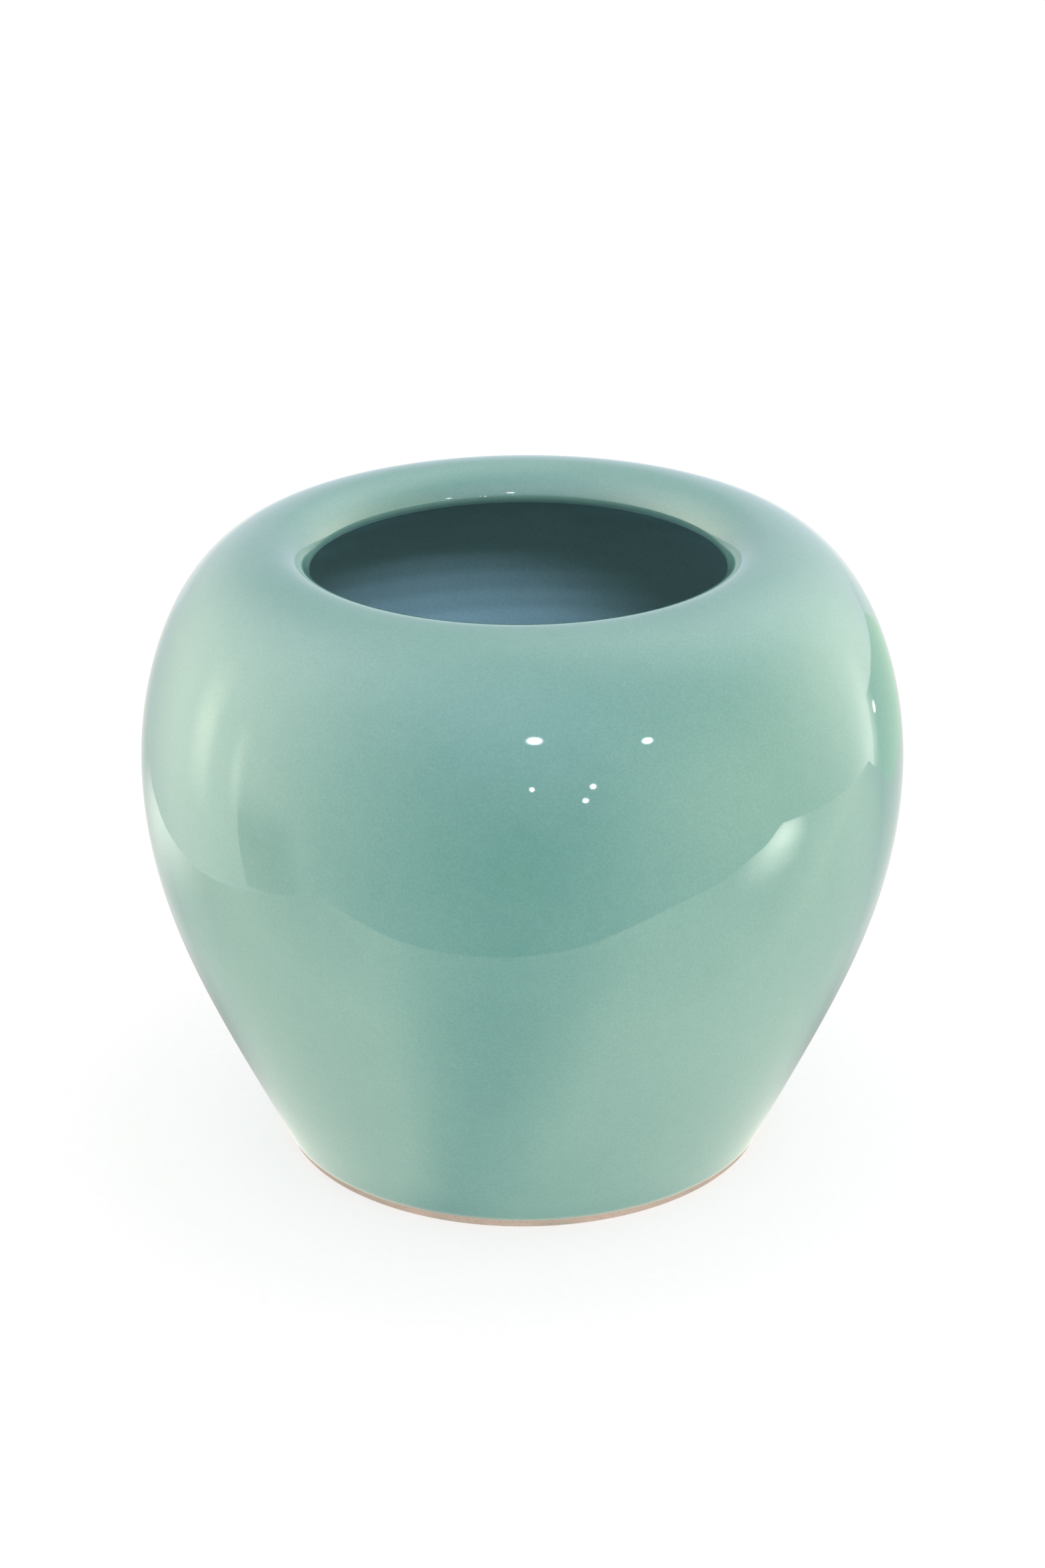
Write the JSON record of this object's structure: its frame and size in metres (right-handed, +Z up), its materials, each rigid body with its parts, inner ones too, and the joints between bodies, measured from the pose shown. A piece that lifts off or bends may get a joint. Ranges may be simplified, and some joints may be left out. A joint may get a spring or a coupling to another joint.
{
  "type": "brush holder pot",
  "caption": "Free-standing glazed ceramic pot with a full round belly, a rolled-in rim and a small foot, for standing writing brushes in.",
  "frame": {"origin": "on the pot's axis, in the plane that its foot ring stands on", "axes": "+Z up along the pot's axis; +X and +Y are any two level directions, because the pot is round"},
  "size_m": [0.21, 0.21, 0.1745],
  "materials": {
    "bare_clay": "unglazed, fired, fine grained and matt",
    "celadon_glaze": "glossy celadon, pale blue-green"
  },
  "bodies": {
    "root": {"clay_body": "bare_clay", "outer_glaze": "celadon_glaze", "inner_glaze": "celadon_glaze", "base_glaze": "celadon_glaze"}
  },
  "joints": []
}
